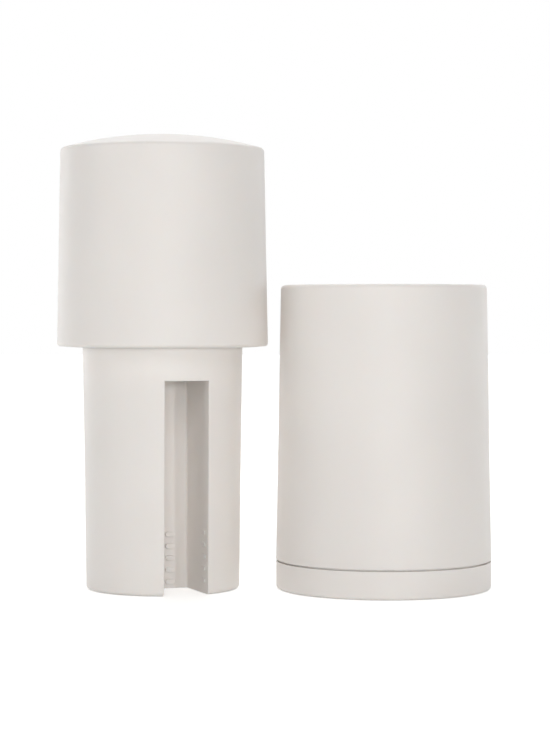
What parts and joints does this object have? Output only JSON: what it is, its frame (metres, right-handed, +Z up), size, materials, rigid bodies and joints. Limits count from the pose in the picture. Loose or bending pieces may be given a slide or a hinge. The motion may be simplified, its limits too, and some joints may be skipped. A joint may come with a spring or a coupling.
{
  "type": "spice mill",
  "caption": "Hand-twisted spice mill taken apart: a tapered body on a pull-off base lid, and beside it the tall knob with its slotted spice column.",
  "frame": {"origin": "centre of the base lid's underside, on the mill body's axis, on the floor", "axes": "+Z up; +X from the insert towards the mill body; +Y away from the viewer"},
  "size_m": [0.131, 0.065, 0.1366],
  "materials": {
    "off_white_plastic": "satin",
    "inner_plastic": "satin",
    "glide_plastic": "smooth",
    "seal_rubber": "matt",
    "blade_steel": "etched",
    "rod_steel": "ground",
    "spring_steel": "drawn",
    "screw_steel": "plain"
  },
  "bodies": {
    "base": {"base_lid": "off_white_plastic", "lid_seal": "seal_rubber"},
    "mill_body": {"body_shell": "off_white_plastic", "bore_liner": "inner_plastic", "liner_screws": "screw_steel", "blade_disc": "blade_steel", "blade_ring": "inner_plastic", "ring_screws": "screw_steel"},
    "glide": {"glide_ring": "glide_plastic"},
    "insert": {"knob_shell": "off_white_plastic", "spice_chamber": "off_white_plastic", "chamber_screws": "screw_steel", "spring_cover": "inner_plastic", "cover_screws": "screw_steel", "pusher_spring": "spring_steel"},
    "pusher": {"pusher_head": "inner_plastic", "pusher_rod": "rod_steel", "rod_clip": "spring_steel"}
  },
  "joints": [
    {"name": "body_lift", "type": "slide", "parent": "base", "child": "mill_body", "axis": [0, 0, 1], "range_m": [0, 0.05]},
    {"name": "insert_lift", "type": "slide", "parent": "base", "child": "glide", "axis": [0, 0, 1], "range_m": [0, 0.095]},
    {"name": "insert_twist", "type": "hinge", "parent": "glide", "child": "insert", "pos_m": [-0.0667, 0, 0], "axis": [0, 0, 1], "continuous": true},
    {"name": "pusher_press", "type": "slide", "parent": "insert", "child": "pusher", "axis": [0, 0, 1], "range_m": [0, 0.02], "stiffness_N_per_m": 380, "springref_m": -0.005, "deforming": ["pusher_spring"]}
  ]
}
